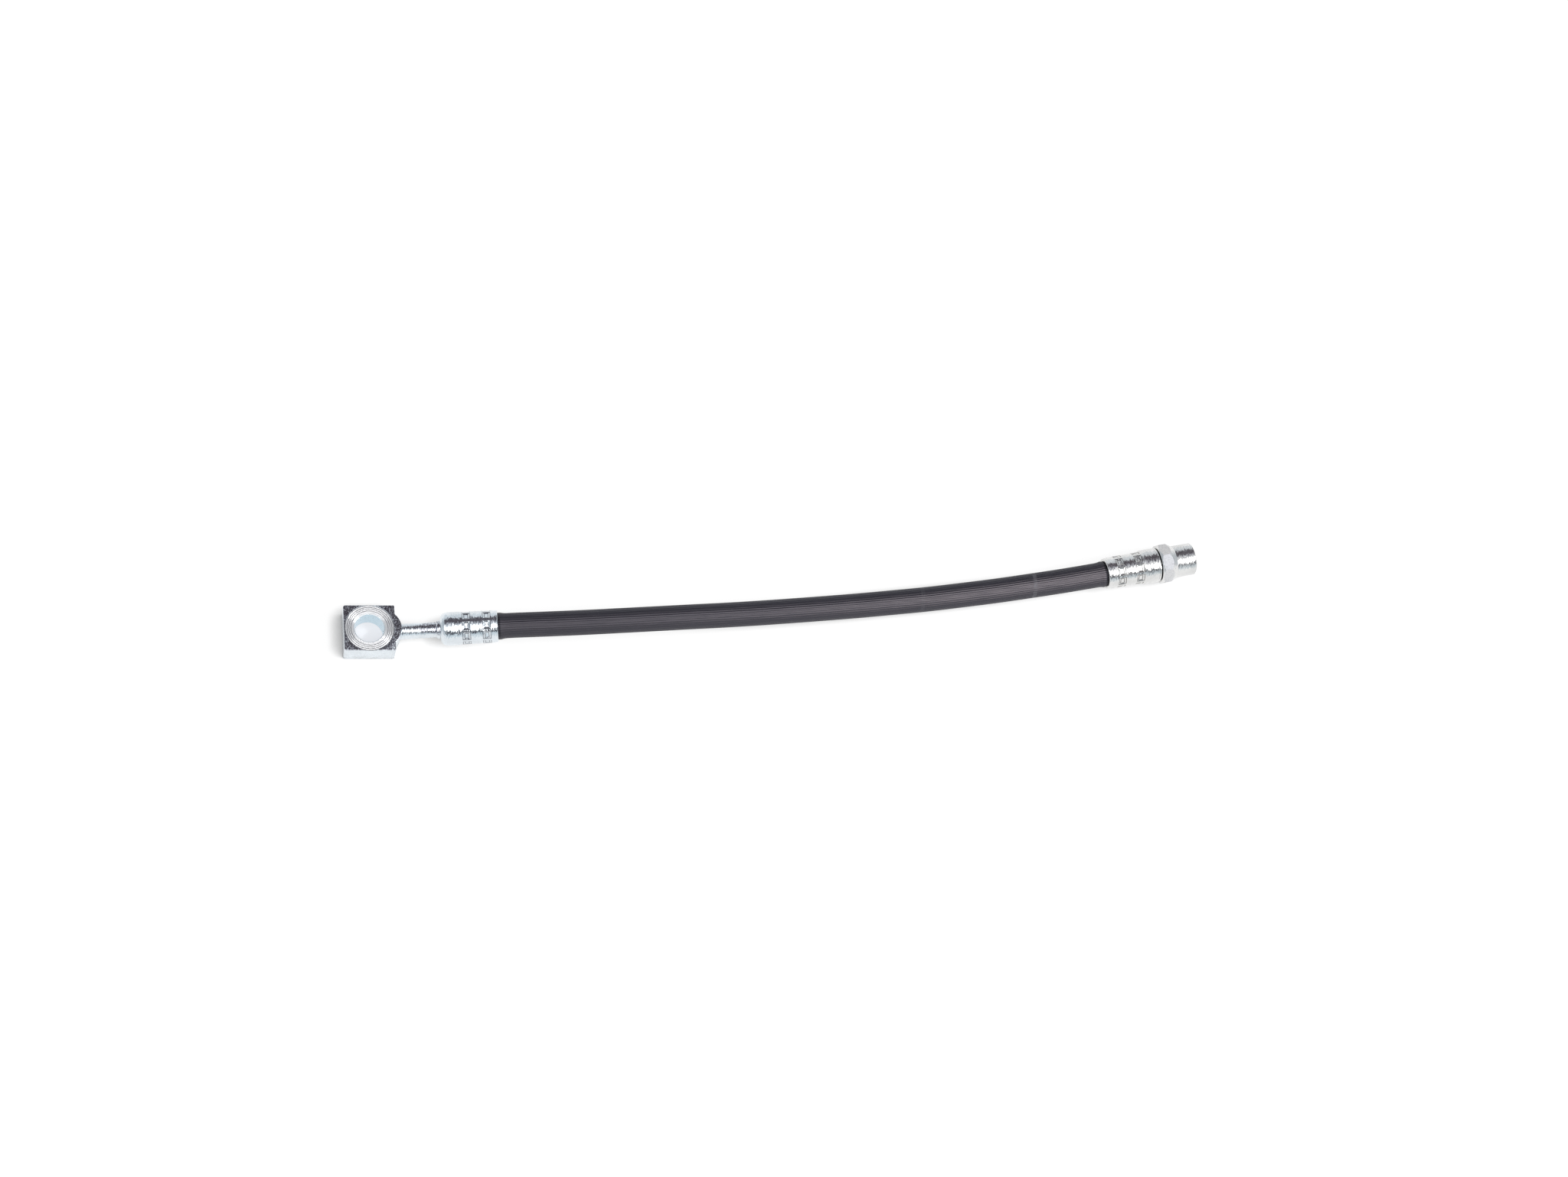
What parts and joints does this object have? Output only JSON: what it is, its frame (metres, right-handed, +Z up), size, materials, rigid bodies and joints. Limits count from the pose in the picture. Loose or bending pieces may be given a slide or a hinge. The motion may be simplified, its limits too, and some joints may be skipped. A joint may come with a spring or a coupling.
{
  "type": "brake hose",
  "caption": "Flexible ribbed rubber brake hose with a banjo eye on a short cranked neck at one end, a female fitting with a collar at the other, and crimped steel ferrules.",
  "frame": {"origin": "middle of the two end fittings' footprint, on the plane that the hose lies on", "axes": "+X runs along the hose from the banjo eye to the female end, +Z is up, along the banjo eye's bolt bore"},
  "size_m": [0.367, 0.0496, 0.0181],
  "materials": {
    "banjo_steel": "bright zinc plate, cool tint",
    "end_steel": "bright zinc plate, neutral tint",
    "cover_rubber": "satin, finely ribbed",
    "inner_rubber": "smooth",
    "braid": "woven fibre"
  },
  "bodies": {
    "root": {"banjo_fitting": "banjo_steel", "banjo_ferrule": "banjo_steel", "end_ferrule": "end_steel", "end_fitting": "end_steel", "hose_liner": "inner_rubber", "hose_inner_braid": "braid", "hose_cushion": "inner_rubber", "hose_outer_braid": "braid", "hose_cover": "cover_rubber"}
  },
  "joints": []
}
